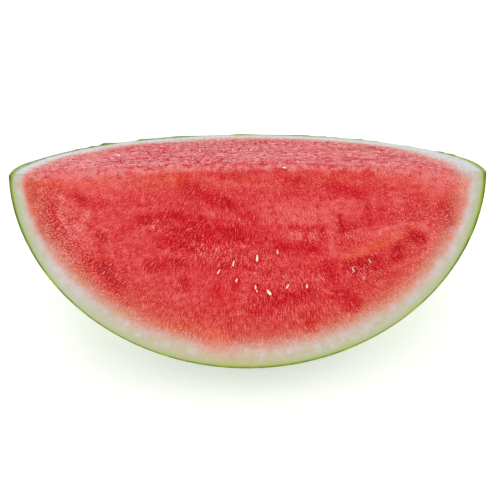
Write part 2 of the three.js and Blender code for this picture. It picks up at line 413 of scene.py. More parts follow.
fleshMarks["back", "deep"] = [
    (-80, 18, -44, 26, 9, 0.7), (-60, 46, -20, 52, 12, 0.8),
    (10, 44, 46, 50, 11, 0.8), (20, 14, 62, 20, 8, 0.6),
    (82, 36, 90, 40, 8, 1), (60, 60, 72, 66, 9, 0.7),
    (-30, 74, 8, 78, 9, 0.6),
]
fleshMarks["back", "pale"] = [
    (-40, 34, 6, 32, 9, 0.6), (36, 32, 74, 30, 8, 0.5),
    (-96, 30, -80, 50, 9, 0.5), (-10, 8, 12, 10, 7, 0.5),
    (30, 70, 52, 78, 9, 0.4), (-100, 22, -74, 30, 8, 0.5),
    (-68, 20, -54, 26, 2.6, 1.2), (-54, 26, -38, 20, 2.6, 1.2),
    (-66, 10, -46, 13, 2.4, 1), (-30, 16, -8, 22, 2.4, 1),
    (12, 22, 34, 18, 2.4, 1), (20, 34, 52, 38, 2.4, 0.9),
    (-40, 44, -16, 40, 2.4, 0.9),
]
fleshMarks["back", "warm"] = [
    (-100, 4, 100, 4, 7, 0.4), (46, 56, 70, 50, 7, 0.7),
    (-20, 100, 12, 104, 9, 0.5),
]
# places of more pale specks and of painted glints
fleshMarks["back", "fleck"] = [
    (-70, 12, -40, 16, 8, 0.8), (-10, 20, 20, 24, 8, 0.7),
    (52, 10, 84, 16, 8, 0.7), (-30, 56, 0, 60, 9, 0.7),
    (50, 48, 66, 52, 8, 0.6),
]
fleshMarks["back", "rough"] = [
    (-80, 14, 86, 12, 16, 0.8), (-60, 48, 50, 52, 18, 0.8),
]
tones = ("deep", "pale", "warm", "fleck", "rough")

halfLength = melon["length"] / 2
radius = melon["diameter"] / 2
axisHeight = radius + melon["ribHeight"] - melon["groundCut"]
sides = {"front": -1, "back": 1}


dentValues = ("At X", "At Down", "Wide", "High", "Depth")


def makeDent():
    sockets = dict.fromkeys(("X", "Down", *dentValues), 0.0)
    tree, given = newGroup("dent", "GeometryNodeTree", sockets, {"Depth": "Float"})
    across = given["X"].hump(given["At X"], given["Wide"])
    along = given["Down"].hump(given["At Down"], given["High"])
    closeGroup(tree, {"Depth": given["Depth"] * across * along})
    return tree


def makeRelief(side, dent):
    # How far the flesh stands out of the flat through the melon's axis
    sockets = {"X": 0.0, "Down": 0.0, "Rim": radius}
    sockets |= {"Crown": cuts["crown"][side], "Wave Depth": cuts["waveDepth"]}
    tree, given = newGroup(side + "Relief", "GeometryNodeTree", sockets, {"Height": "Float"})
    x, down = given["X"], given["Down"]
    inward = 1 - (down / given["Rim"]) ** 2
    inside = (1 - (x / halfLength) ** 2) * inward
    fade = (inside / cuts["rimShare"]).within(0, 1)
    phase = 2 * math.pi / cuts["waveLength"]
    wave = ((down + x * cuts["waveDrift"]) * phase).sine() * given["Wave Depth"]

    def dentAt(*values):
        inputs = {name: value * mm for name, value in zip(dentValues, values)}
        return out(useGroup(tree, dent, {"X": x, "Down": down, **inputs}))

    height = given["Crown"] * inside * inward + wave * fade
    for hollow in hollows[side]:
        height = height - dentAt(*hollow) * fade
    for pipX, pipDown, long, wide, *_ in pipSeats[side]:
        height = height - dentAt(pipX, pipDown, wide * pipBed["wide"], long * pipBed["long"], pipBed["depth"])
    closeGroup(tree, {"Height": height})
    return tree


strokeValues = ("From X", "From Down", "To X", "To Down", "Reach", "Strength")


def makeStroke():
    sockets = dict.fromkeys(("X", "Down", *strokeValues), 0.0)
    tree, given = newGroup("stroke", "GeometryNodeTree", sockets, {"Mark": "Float"})
    place = combine(tree, given["X"], given["Down"])
    start = combine(tree, given["From X"], given["From Down"])
    run = vectorMath("SUBTRACT", combine(tree, given["To X"], given["To Down"]), start)
    away = vectorMath("SUBTRACT", place, start)
    dot = vectorMath("DOT_PRODUCT", away, run, output="Value")
    share = (dot / vectorMath("DOT_PRODUCT", run, run, output="Value")).within(0, 1)
    nearest = vectorMath("SCALE", run, scale=share)
    gap = vectorMath("DISTANCE", away, nearest, output="Value")
    closeGroup(tree, {"Mark": (gap / given["Reach"]).fall(0, 1) * given["Strength"]})
    return tree


def wetStroke(x, down, long, wide, turn, _):
    # Painted shade round a pip, as one more deep stroke
    tilt = math.radians(turn)
    alongX, alongDown = math.sin(tilt) * long / 3, math.cos(tilt) * long / 3
    line = (x - alongX, down - alongDown, x + alongX, down + alongDown)
    return (*line, wide / 2 + pipShadeRing["margin"], pipShadeRing["strength"])


def makeMarks(side, stroke):
    # All the marks of one face, each tone as one soft field
    outputs = dict.fromkeys(tones, "Float")
    tree, given = newGroup(side + "Marks", "GeometryNodeTree", {"X": 0.0, "Down": 0.0}, outputs)
    fields = dict.fromkeys(tones, 0.0)
    for tone in tones:
        strokes = list(fleshMarks[side, tone])
        if tone == "deep":
            strokes += [wetStroke(*seat) for seat in pipSeats[side]]
        for values in strokes:
            line = {name: value * mm for name, value in zip(strokeValues, values)} | {"Strength": values[-1]}
            fields[tone] = fields[tone] + out(useGroup(tree, stroke, given | line))
    closeGroup(tree, fields)
    return tree


def grid(tree, columns, rows):
    mesh = flow(tree, "GeometryNodeMeshGrid", {"Vertices X": columns, "Vertices Y": rows})
    x, y, _ = split(flow(tree, "GeometryNodeInputPosition"))
    return mesh, x + 0.5, y + 0.5


def rimAt(given, share):
    # Where the cut meets the skin: x along the melon, and how far out from its axis
    angle = share * math.pi
    x = angle.cosine() * given["Length"] * -0.5
    reach = angle.sine().atLeast(0) ** given["End Taper"] * given["Diameter"] * 0.5
    return x, reach


def liftAt(x, places):
    # How far the skin's edge stands up from the cut at the rim
    total = 0.0
    for lipX, wide, high in places:
        along = (x - lipX * mm) / (wide * mm)
        along = along.atLeast(0) + along.atMost(0) * lipShape["sharpness"]
        total = along.bell() * (high * mm) + total
    return total


def store(tree, mesh, name, value, domain="POINT"):
    inputs = {"Geometry": mesh, "Name": name, "Value": value}
    return flow(tree, "GeometryNodeStoreNamedAttribute", inputs, data_type="FLOAT", domain=domain)


def stored(tree, name):
    return flow(tree, "GeometryNodeInputNamedAttribute", {"Name": name}, data_type="FLOAT")


def placed(tree, mesh, position):
    return flow(tree, "GeometryNodeSetPosition", {"Geometry": mesh, "Position": position})


def cutFace(tree, given, side, relief, marks, ruler):
    # One cut, from the middle of the core edge's rounding out to the rim
    def heightOf(face, down):
        inputs = {"X": x, "Down": down, "Rim": rim, "Crown": given[face.title() + " Crown"]}
        return out(useGroup(tree, relief[face], inputs))

    other = "back" if side == "front" else "front"
    sign = sides[side]
    mesh, share, fall = grid(tree, given["Columns"], given[side.title() + " Rows"])
    x, rim = rimAt(given, share)
    rim = rim * (1 - given["Rib Height"] / given["Diameter"] * 2)
    rounding = given["Core Round"] * (rim / cuts["tipReach"]).atMost(1)
    otherTop = heightOf(other, 0.0)
    start = rounding * (1 - halfRoot) - otherTop
    fall = 1 - (1 - fall ** detail["coreCrowding"]).atLeast(0) ** detail["rimCrowding"]
    down = start + (rim - start) * fall
    short = (rounding - (down + otherTop)).atLeast(0)
    drop = rounding - (rounding * rounding - short * short).atLeast(0).root()
    stand = heightOf(side, down.atLeast(0)) - drop
    if side == "back":
        stand = stand + liftAt(x, lips) * (rim - down).fall(0, lipShape["foot"])
        stand = stand + liftAt(x, tipLifts) * (rim - down).fall(0, tipFoot)
    y = (down + stand) * halfRoot * sign
    z = given["Axis Height"] + (stand - down) * halfRoot
    measure = {0: ruler, "Source Position": combine(tree, x, down)}
    nearest = addNode(tree, "GeometryNodeProximity", measure, target_element="EDGES")
    mesh = store(tree, mesh, "underSkin", out(nearest, "Distance"))
    mesh = store(tree, mesh, "fromCore", (down - start) * sign)
    marked = useGroup(tree, marks[side], {"X": x, "Down": down})
    for tone in tones:
        mesh = store(tree, mesh, tone + "Mark", out(marked, tone))
    mesh = store(tree, mesh, "isSkin", 0.0, "FACE")
    return placed(tree, mesh, combine(tree, x, y, z))


def skinSheet(tree, given):
    # The round of skin between the two rims, pressed flat where it rests
    mesh, share, around = grid(tree, given["Columns"], given["Skin Rows"])
    x, rim = rimAt(given, share)
    turn = (around - 0.5) * (2 * cuts["lean"])
    swell = 1 + given["Rib Height"] / given["Diameter"] * 2 * (turn * given["Rib Count"]).cosine()
    outward = rim * swell
    nearEdge = turn.rise(cuts["lean"] - lipShape["skinDepth"], cuts["lean"])
    lift = liftAt(x, lips + tipLifts) * nearEdge * halfRoot
    y = turn.sine() * outward + lift
    z = (given["Axis Height"] - turn.cosine() * outward + lift).atLeast(0)
    mesh = store(tree, mesh, "underSkin", 0.0)
    mesh = store(tree, mesh, "fromCore", 1.0)
    mesh = store(tree, mesh, "isSkin", 1.0, "FACE")
    return placed(tree, mesh, combine(tree, x, y, z))


def roughened(tree, given, body):
    # Small unevenness of the flesh, none at the rim
    rough = noise(flow(tree, "GeometryNodeInputPosition"), given["Rough Grain"], *cuts["roughNoise"]) - 0.5
    push = rough * given["Rough Depth"] * stored(tree, "underSkin").rise(*cuts["roughFade"])
    offset = vectorMath("SCALE", flow(tree, "GeometryNodeInputNormal"), scale=push)
    return flow(tree, "GeometryNodeSetPosition", {"Geometry": body, "Offset": offset})


def finished(tree, given, body):
    # Smooth but for the rims, with the skin's material where the skin is
    body = flow(tree, "GeometryNodeSetShadeSmooth", {0: body, "Shade Smooth": True}, domain="FACE")
    sharp = flow(tree, "GeometryNodeInputMeshEdgeAngle").isAbove(detail["sharpFrom"])
    edges = {0: body, "Selection": sharp, "Shade Smooth": False}
    body = flow(tree, "GeometryNodeSetShadeSmooth", edges, domain="EDGE")
    body = flow(tree, "GeometryNodeRealizeInstances", {0: body})
    body = flow(tree, "GeometryNodeSetMaterial", {0: body, "Material": given["Flesh"]})
    skinned = {0: body, "Selection": stored(tree, "isSkin").isAbove(0.5), "Material": given["Skin"]}
    return flow(tree, "GeometryNodeSetMaterial", skinned)


def makeWedgeTree():
    sockets = {
        "Geometry": "Geometry",
        "Length": melon["length"],
        "Diameter": melon["diameter"],
        "End Taper": melon["endTaper"],
        "Rib Count": melon["ribCount"],
        "Rib Height": melon["ribHeight"],
        "Axis Height": axisHeight,
        "Front Crown": cuts["crown"]["front"],
        "Back Crown": cuts["crown"]["back"],
        "Core Round": cuts["coreRound"],
        "Columns": detail["columns"],
        "Front Rows": detail["frontRows"],
        "Back Rows": detail["backRows"],
        "Skin Rows": detail["skinRows"],
        "Rough Depth": cuts["roughDepth"],
        "Rough Grain": cuts["roughGrain"],
        "Flesh": "Material",
        "Skin": "Material",
    }
    tree, given = newGroup("wedgeBody", "GeometryNodeTree", sockets, {"Geometry": "Geometry"})
    dent, stroke = makeDent(), makeStroke()
    relief = {side: makeRelief(side, dent) for side in sides}
    marks = {side: makeMarks(side, stroke) for side in sides}

    # The rim as a line on a level face, which the distance under the skin is measured from
    ruler, share, _ = grid(tree, detail["rulerColumns"], 2)
    ruler = placed(tree, ruler, combine(tree, *rimAt(given, share)))

    front, back = (cutFace(tree, given, side, relief, marks, ruler) for side in sides)
    front = flow(tree, "GeometryNodeFlipFaces", {0: front})
    skin = flow(tree, "GeometryNodeFlipFaces", {0: skinSheet(tree, given)})
    join = tree.nodes.new("GeometryNodeJoinGeometry")
    for sheet in (skin, back, front):
        tree.links.new(sheet.socket, join.inputs[0])
    body = flow(tree, "GeometryNodeMergeByDistance", {0: out(join), "Distance": detail["weld"]})
    closeGroup(tree, {"Geometry": finished(tree, given, roughened(tree, given, body))})
    return tree


print("sizes set,", sum(len(seats) for seats in pipSeats.values()), "pips")


def linear(code):
    # code is a colour as it is seen, like "d3433f"
    parts = [int(code[i : i + 2], 16) / 255 for i in (0, 2, 4)]
    return [c / 12.92 if c <= 0.04045 else ((c + 0.055) / 1.055) ** 2.4 for c in parts] + [1.0]


def newMaterial(name):
    material = bpy.data.materials.new(name)
    material.use_nodes = True
    tree = material.node_tree
    shader = tree.nodes["Principled BSDF"]
    return material, tree, shader


def placeInMm(tree):
    coordinates = out(tree.nodes.new("ShaderNodeTexCoord"), "Object")
    return vectorMath("SCALE", coordinates, scale=1 / mm)


def attribute(tree, name):
    return out(addNode(tree, "ShaderNodeAttribute", attribute_name=name), "Fac")


def ramp(value, stops):
    low, high = stops[0][0], stops[-1][0]
    node = addNode(value.tree, "ShaderNodeValToRGB", {"Fac": (value - low) / (high - low)})
    elements = node.color_ramp.elements
    while len(elements) < len(stops):
        elements.new(0.5)
    for element, (at, _) in zip(elements, stops):
        element.position = (at - low) / (high - low)
    for element, (_, code) in zip(elements, stops):
        element.color = linear(code)
    return out(node, "Color")


def blendColour(share, first, second, mode="MIX"):
    # first and second are flows or codes, and go to the Mix node's two colour sockets
    first, second = (linear(colour) if isinstance(colour, str) else colour for colour in (first, second))
    inputs = {0: share, 6: first, 7: second}
    return out(addNode(share.tree, "ShaderNodeMix", inputs, data_type="RGBA", blend_type=mode), 2)


def bump(tree, shader, height, depth):
    # depth in mm
    inputs = {"Height": height, "Distance": depth * mm, "Strength": 1.0}
    feed(tree, shader.inputs["Normal"], flow(tree, "ShaderNodeBump", inputs))


# A pair is what a share runs between, or where something starts and where it is full
fleshLook = {
    "roughness": 0.42,
    "mottledRoughness": 0.2,
    "deepGloss": 0.06,
    "ior": 1.38,
    "gloss": 0.0,
    "coat": 0.03,
    "backCoat": 0.38,
    "coatAcross": (1, 0.7),
    "coatRoughness": 0.3,
    "bumpDepth": 0.28,
    "bumpInward": (0.25, 1),
    "backLumps": 3,
    "turn": (-1.5, 4.5),  # mm past the core edge, over which the front's looks give way to the back's
    "backThinning": (0.5, 1.4),
    "cornerThickness": 5,  # mm of rind more at the right end of the core edge
    "tipSqueeze": 0.14,  # share by which the rind's outer layers are wider
    "backSqueeze": 0.52,
    "waver": 5,
    "rimDarkness": 6,
    "rimBrightness": 5,
    "backRim": 0.5,
    "cooled": 0.52,
    "coolLag": 2,  # mm deeper at the back's end
    "lip": 0.5,
    "tinted": 2.4,
    "warmInward": (0.3, 0.7),
    "markedPale": 0.7,
    "markedDeep": 1.3,
    "tipDeep": 0.35,
    "backPale": 0.22,
    "backDeep": 0.1,
    "pitShadeFrom": (0.55, 1),
    "pitShadeAcross": (0.16, 0.42),
    "coarseness": 1.02,
    "markedCoarse": 0.9,
    "backGrainAndGlint": (0.55, 0.05),
    "deepShade": 0.12,
    "yellow": "fff6d8",
    "rindShade": "b89e7a",
    "rindLight": "ecd2c6",
    "shade": "a80814",
    "light": "f87c78",
    "mostShade": 0.9,  # the most that the texture covers
    "mostLight": 0.8,
    "backSheenShare": 0.4,
    "speckAndGlintFrom": (0.2, 0.36),
    "speckAndGlintFlecks": 0.16,
    "speckAndGlintShare": 0.6,
    "paintedGlintFrom": (0.22, 0.34),
    "paintedGlintFlecks": 0.12,
    "paintedGlintShare": 0.5,
}

# Depth under the skin in mm, and the colour of the cut there
fleshLayers = [
    (0, "466200"),
    (1, "7c9428"),
    (1.6, "a0b06a"),
    (2.2, "b4bc8a"),
    (4.5, "bfbfa4"),
    (9, "cbbbb0"),
    (12, "d2a99a"),
    (15, "d58a74"),
    (18, "d46a50"),
    (22, "d04f3f"),
    (28, "d03a32"),
    (45, "d8393a"),
]

# Colours laid over the layers, each with the most that it covers
tinges = {
    "rimDark": ("2c480a", 0.75),
    "rimGreen": ("567c00", 1),
    "rimBright": ("a6be2c", 0.6),
    "cool": ("dcdcf2", 1),  # the rind of the back, which the sky lights
    "lip": ("a3c03a", 1),
    "lilac": ("dccfd8", 0.5),
    "tan": ("c8a672", 0.5),
    "warm": ("e4623c", 1),
    "paintedCoreLight": ("ef8079", 1),  # painted light along the rounded core edge
    # painted lilac sheen along the core edge
    "paintedCoreSheen": ("eaa4ac", 0.8),
    "deep": ("cc101e", 0.95),
    # painted shade in the deepest marks and hollows
    "pitShade": ("8c2420", 0.6),
    "pale": ("ee6e69", 0.8),
    # painted lilac sheen on the back, in its texture's dark and light colours
    "backSheenDark": ("a8042c", 1),
    "backSheenLight": ("f5789c", 1),
    # pale specks of the flesh, partly painted glints
    "speckAndGlint": ("f7aca8", 1),
    # painted glints
    "paintedGlint": ("f4cadc", 1),
}

# What is local along the melon, as soft humps: centre and reach in mm, and height
humps = {
    "backThin": [(-70, 25, 2.6), (4, 30, -1.4)],
    "backEnd": [(-106, 24, 1)],
    "shoulders": [(-80, 48, 1), (92, 30, 1)],
    "rimGreen": [(-40, 50, 0.75)],
    "yellow": [(-8, 42, 0.8)],
    "coolEnd": [(-106, 14, 0.18)],
    "lilacTip": [(116, 14, 0.07)],
    "paintedCoreLight": [(-84, 28, 4), (108, 25, 6)],
    "paintedCoreSheen": [(-78, 22, 4), (108, 14, 7)],
}

# Two depths under the skin in mm, between which each thing comes in or dies away
depths = {
    "rimDark": (0.3, 1.1),
    "rimGreen": (0.5, 1.6),
    "rimBright": (1, 2.8),
    "backRim": (1.5, 4),
    "lip": (0.5, 1.5),
    "yellow": (3, 14),
    "coolFrom": (1, 3),
    "coolTo": (5, 14),
    "coolEndFrom": (0.8, 2),
    "coolEndTo": (8, 14),
    "shoulderFrom": (0.3, 1.2),
    "shoulderTo": (1.5, 6),
    "squeeze": (2, 5),
    "backThin": (1.5, 4),
    "endThin": (4.5, 12),
    "coreCorner": (6, 13),
    "tintFrom": (2, 6),
    "tintTo": (13, 22),
    "feather": (4, 12),
    "waver": (3, 9),
    "flesh": (8, 20),
    "paintedCoreSheen": (4, 12),
    "open": (6, 26),
    "weft": (1, 17),
    "shade": (7, 20),
    "light": (9, 24),
    "speckAndGlint": (11, 22),
}

# The same for distances along the melon from its middle, and from the core edge
spans = {
    "tipSqueeze": (116, 124),
    "backRight": (60, 110),
    "cornerAlong": (102, 122),
    "cornerDown": (0, 16),
    "tipDeep": (110, 124),
    "backPale": (10, 60),
    "backPaleLeft": (40, 90),
    "pitShade": (30, 80),
    "open": (40, 95),
    "openCore": (6, 26),
    "calm": (0, 60),
    "backGrainAndGlint": (-1, 8),
    "backWeft": (0, 6),
    "backLumps": (1, 14),
}

# What grows towards the ends: from where off the middle in mm, by how much each mm, and the most
ends = {
    "thin": (65, 0.09, 8),
    "tipThin": (110, 0.15, 8),
    "leftThin": (106, 0.15, 8),
    "softTurn": (45, 0.1, 4),
    "pale": (80, 0.007, 0.25),
}

# How much of each grain stirs each thing
fleshGrains = ("Grain", "Fibre", "Streak", "Lump", "Blotch", "Mottle", "Tint", "Rim", "Tuft")
mixes = {
    "turn": {"Blotch": 12, "Streak": 8},
    "feather": {"Fibre": 5, "Grain": 7, "Blotch": 7},
    "paintedCoreLight": {"Blotch": 1.6, "Streak": 1.6},
    "paintedCoreSheen": {"Tuft": 2, "Blotch": 2, "Mottle": 2},
    "tone": {"Streak": 1.1, "Blotch": 1.7, "Mottle": 1.2},
    "backToneAndBumpShade": {"Lump": 2.6, "Streak": 0.7, "Blotch": 1, "Mottle": 1},
    "openWeft": {"Grain": 2, "Fibre": 2.4},
    "mattedWeft": {"Grain": 2.8, "Fibre": 1.1},
    "backWeft": {"Tuft": 2.2, "Fibre": 1.2, "Grain": 0.6},
    "speckAndGlint": {"Grain": 0.8, "Fibre": 0.8, "Blotch": 0.3},
    "paintedGlint": {"Tuft": 1, "Fibre": 0.6},
    "wet": {"Lump": 2, "Streak": 0.6, "Tuft": 0.8, "Blotch": 1.8},
    "bump": {"Grain": 0.8, "Fibre": 0.8},
}

grainShape = {
    "grain": (0.62, 1, 0.6),  # size in mm, detail and roughness
    "blotch": (3.4, 2, 0.5),
    "mottle": (15, 3, 0.5),
    "tint": (5, 3, 0.6),
    "wander": (5, 1, 0.5),
    "rim": (9, 3, 0.6),
    "streak": (9, 2.6, 0),  # width and height in mm, and curl
    "lump": (2, 5, 1.5),
    "tuft": (0.8, 2.8, 1),  # long on the back, which is seen at a slant
    "spotNoise": (2, 0.5),  # detail and roughness
    "fibreWide": 0.56,
    "fibreLong": 4.2,
    "fibreNoise": (1, 0.6),
    "fanHeight": 55.0,
    "fanSpans": (72, 132),
    "wandering": 2.4,
    "rimShift": 5,  # the shifts make the back's pattern another one than the front's
    "spotShift": 17,
    "fibreShift": 31,
}


def makeFleshGrain():
    look = grainShape
    grainSize, *grainNoise = look["grain"]
    rimSize, *rimNoise = look["rim"]
    inputs = {"Place": "Vector", "X": 0.0, "Down": 0.0, "Side": 0.0}
    inputs |= {"Grain Size": grainSize, "Fan Height": look["fanHeight"]}
    inputs |= {"Fibre Wide": look["fibreWide"], "Fibre Long": look["fibreLong"]}
    tree, given = newGroup("fleshGrain", "ShaderNodeTree", inputs, dict.fromkeys(fleshGrains, "Float"))
    place, side = given["Place"], given["Side"]
    made = {
        "Grain": noise(place, given["Grain Size"], *grainNoise),
        "Blotch": noise(place, *look["blotch"]),
        "Mottle": noise(place, *look["mottle"]),
        "Tint": noise(place, *look["tint"]),
        "Rim": noise(combine(tree, given["X"] / rimSize, side * look["rimShift"]), 1, *rimNoise),
    }
    for name in ("Streak", "Lump", "Tuft"):
        wide, high, curl = look[name.lower()]
        spot = combine(tree, given["X"] / wide, given["Down"] / high, side * look["spotShift"])
        made[name] = noise(spot, 1, *look["spotNoise"], curl)

    # Fibres fan out from a point above the core edge. Two widths of fan keep them near one width.
    x, below = given["X"], given["Down"] + given["Fan Height"]
    reach = (x * x + below * below).root()
    turn = x.turnFrom(below) + (noise(place, *look["wander"]) - 0.5) * look["wandering"] / reach
    fans = []
    for span in look["fanSpans"]:
        across, along = turn * span / given["Fibre Wide"], reach / given["Fibre Long"]
        fans.append(noise(combine(tree, across, along, side * look["fibreShift"]), 1, *look["fibreNoise"]))
    made["Fibre"] = fans[0].toward(fans[1], reach.rise(*look["fanSpans"]))
    closeGroup(tree, made)
    return tree


class CutFlesh:
    # A cut's measures in mm, its grains and its marks, which all its colours are worked out from
    def __init__(self, tree):
        place = placeInMm(tree)
        self.x, _, z = split(place)
        self.aside = self.x.size()
        self.down = (axisHeight / mm - z) / halfRoot
        self.under = attribute(tree, "underSkin") / mm
        self.fromCore = attribute(tree, "fromCore") / mm  # below 0 on the front
        inputs = {"Place": place, "X": self.x, "Down": self.down, "Side": self.fromCore.isAbove(0)}
        weave = useGroup(tree, makeFleshGrain(), inputs)
        self.grains = {name: out(weave, name) - 0.5 for name in fleshGrains}
        self.marks = {tone: attribute(tree, tone + "Mark").within(0, 1) for tone in tones}
        spread = self.aside.past(*ends["softTurn"])  # the turn to the back is softer at the ends
        low, high = fleshLook["turn"]
        self.onBack = (self.fromCore + self.mix("turn")).rise(low - spread, high + spread)
        endPale = self.aside.past(*ends["pale"]) - (-self.x).rise(*spans["tipDeep"]) * fleshLook["tipDeep"]
        self.paleness = self.marks["pale"] * fleshLook["markedPale"] + endPale

    def mix(self, name):
        return sum(self.grains[grain] * amount for grain, amount in mixes[name].items())

    def hump(self, name):
        return sum(self.x.hump(centre, reach) * height for centre, reach, height in humps[name])

    def deeper(self, name):
        return self.under.rise(*depths[name])

    def nearer(self, name):
        return self.under.fall(*depths[name])


def tinge(colour, share, name):
    code, most = tinges[name]
    return blendColour(share.within(0, most), colour, code)


def thinning(cut):
    # How much thinner the rind is in mm, mostly towards the melon's ends
    look = fleshLook
    thin = cut.aside.past(*ends["thin"]) + cut.aside.past(*ends["tipThin"]) + (-cut.x).past(*ends["leftThin"])
    backThinning = cut.x.rise(*spans["backRight"]).between(*look["backThinning"])
    thin = thin * cut.deeper("endThin") * (1 - cut.onBack * backThinning)
    corner = cut.x.rise(*spans["cornerAlong"]) * cut.down.fall(*spans["cornerDown"])
    thin = thin - corner * cut.deeper("coreCorner") * look["cornerThickness"]
    return thin + cut.hump("backThin") * cut.onBack * cut.deeper("backThin")


def rindColour(cut, thin):
    # The layers from the skin inwards, which feather into the flesh, and the rind's own tinges
    look = fleshLook
    rim, mottle, onBack = cut.grains["Rim"], cut.grains["Mottle"], cut.onBack
    backEnd = cut.hump("backEnd") * onBack
    squeeze = cut.aside.rise(*spans["tipSqueeze"]) * look["tipSqueeze"] + backEnd * look["backSqueeze"]
    shoulder = cut.hump("shoulders").atMost(1) * cut.deeper("shoulderFrom") * cut.nearer("shoulderTo")
    feather = cut.mix("feather") * cut.deeper("feather") + mottle * look["waver"] * cut.deeper("waver")
    depth = cut.under * (1 - squeeze * cut.nearer("squeeze")) + thin + shoulder + feather
    colour = ramp(depth.within(0, fleshLayers[-1][0]), fleshLayers)

    colour = tinge(colour, rim * look["rimDarkness"] * cut.nearer("rimDark"), "rimDark")
    colour = tinge(colour, cut.hump("rimGreen") * cut.nearer("rimGreen"), "rimGreen")
    colour = tinge(colour, backEnd * cut.nearer("backRim") * look["backRim"], "rimDark")
    colour = tinge(colour, rim * -look["rimBrightness"] * cut.nearer("rimBright"), "rimBright")
    yellowed = cut.hump("yellow") * cut.nearer("yellow")
    colour = blendColour(yellowed, colour, look["yellow"], "MULTIPLY")
    # painted sky light: the back's rind paler and bluer
    cool = onBack * (cut.under - backEnd * look["coolLag"]).rise(*depths["coolFrom"]) * cut.nearer("coolTo")
    colour = tinge(colour, cool * look["cooled"], "cool")
    colour = tinge(colour, cut.hump("coolEnd") * cut.deeper("coolEndFrom") * cut.nearer("coolEndTo"), "cool")
    colour = tinge(colour, (onBack - backEnd) * cut.nearer("lip") * look["lip"], "lip")
    inRind = cut.deeper("tintFrom") * (cut.under + thin).fall(*depths["tintTo"])
    tint = (cut.grains["Tint"] + cut.hump("lilacTip")) * look["tinted"] * inRind
    return tinge(tinge(colour, tint, "lilac"), -tint, "tan")


# Strips of painted light along the core edge: a brighter band and a lilac sheen. On the back each comes in
# between two places over the edge, and on the front it ends so far down, more or less by the waver.
coreStrips = {
    "paintedCoreLight": {"in": (-6, -1), "from": 0.2, "to": 3, "waver": 9, "strength": 0.62},
    "paintedCoreSheen": {"in": (-4, 0), "from": 0, "to": 1.6, "waver": 6, "strength": 0.26},
}


def coreStrip(cut, name):
    strip = coreStrips[name]
    ahead = -cut.fromCore
    end = cut.hump(name) + strip["to"] + cut.grains["Mottle"] * strip["waver"]
    return ahead.rise(*strip["in"]) * ahead.fall(strip["from"], end) * (cut.mix(name) + strip["strength"])


def markedColour(cut, colour, inFlesh):
    # Warm, deep and pale marks, and the flesh's own unevenness
    look = fleshLook
    deep = cut.marks["deep"]
    colour = tinge(colour, cut.marks["warm"] * inFlesh.between(*look["warmInward"]), "warm")
    # painted light along the rounded core edge
    colour = tinge(colour, coreStrip(cut, "paintedCoreLight") * inFlesh, "paintedCoreLight")
    # painted lilac sheen, spread from the back over the core edge
    colour = tinge(colour, coreStrip(cut, "paintedCoreSheen") * cut.deeper("paintedCoreSheen"), "paintedCoreSheen")
    backPale = cut.aside.rise(*spans["backPale"]) + (-cut.x).rise(*spans["backPaleLeft"])
    # the back's own tone, with the bump's lumps painted in as shade
    backToneAndBumpShade = cut.mix("backToneAndBumpShade") + backPale * look["backPale"] - look["backDeep"]
    tone = cut.mix("tone") + cut.paleness - deep * look["markedDeep"]
    tone = (tone + backToneAndBumpShade * cut.onBack) * inFlesh
    colour = tinge(colour, -tone, "deep")
    # painted shade in the deepest marks and hollows, more of it away from the middle
    pitShade = cut.aside.rise(*spans["pitShade"]).between(*look["pitShadeAcross"]) + cut.grains["Grain"]
    colour = tinge(colour, pitShade * deep.rise(*look["pitShadeFrom"]), "pitShade")
    return tinge(colour, tone, "pale")


def wovenColour(cut, colour, inFlesh):
    # The fine texture, from deep wet flesh to pale dry flesh
    look = fleshLook
    marks = cut.marks
    backFlesh = cut.onBack * inFlesh
    # the back's grain is stronger, partly painted glints and bump shading
    backGrainAndGlint = cut.x.rise(*spans["calm"]).between(*look["backGrainAndGlint"])
    coarseness = look["coarseness"] + marks["rough"] * look["markedCoarse"] * inFlesh
    coarseness = coarseness + cut.fromCore.rise(*spans["backGrainAndGlint"]) * backGrainAndGlint
    openness = cut.fromCore.size().rise(*spans["openCore"]) * cut.aside.fall(*spans["open"])
    weft = cut.mix("mattedWeft").toward(cut.mix("openWeft"), openness * cut.deeper("open"))
    weft = weft.toward(cut.mix("backWeft"), cut.fromCore.rise(*spans["backWeft"]))
    texture = weft * coarseness * cut.deeper("weft") - marks["deep"] * look["deepShade"] * inFlesh
    shade = blendColour(cut.deeper("shade"), look["rindShade"], look["shade"])
    light = blendColour(cut.deeper("light"), look["rindLight"], look["light"])
    # painted lilac sheen on the back, in the texture's dark and light colours
    shade = tinge(shade, backFlesh * look["backSheenShare"], "backSheenDark")
    light = tinge(light, backFlesh * look["backSheenShare"], "backSheenLight")
    colour = blendColour((-texture).within(0, look["mostShade"]), colour, shade)
    colour = blendColour(texture.within(0, look["mostLight"]), colour, light)
    # pale specks of the flesh, partly painted glints
    specksAndGlints = (cut.mix("speckAndGlint") + marks["fleck"] * look["speckAndGlintFlecks"]).rise(*look["speckAndGlintFrom"])
    colour = tinge(colour, specksAndGlints * cut.deeper("speckAndGlint") * look["speckAndGlintShare"], "speckAndGlint")
    # painted glints on the back's flesh
    paintedGlintPlaces = (marks["fleck"] + cut.paleness) * look["paintedGlintFlecks"]
    paintedGlints = (cut.mix("paintedGlint") + paintedGlintPlaces).rise(*look["paintedGlintFrom"])
    return tinge(colour, paintedGlints * backFlesh * look["paintedGlintShare"], "paintedGlint")


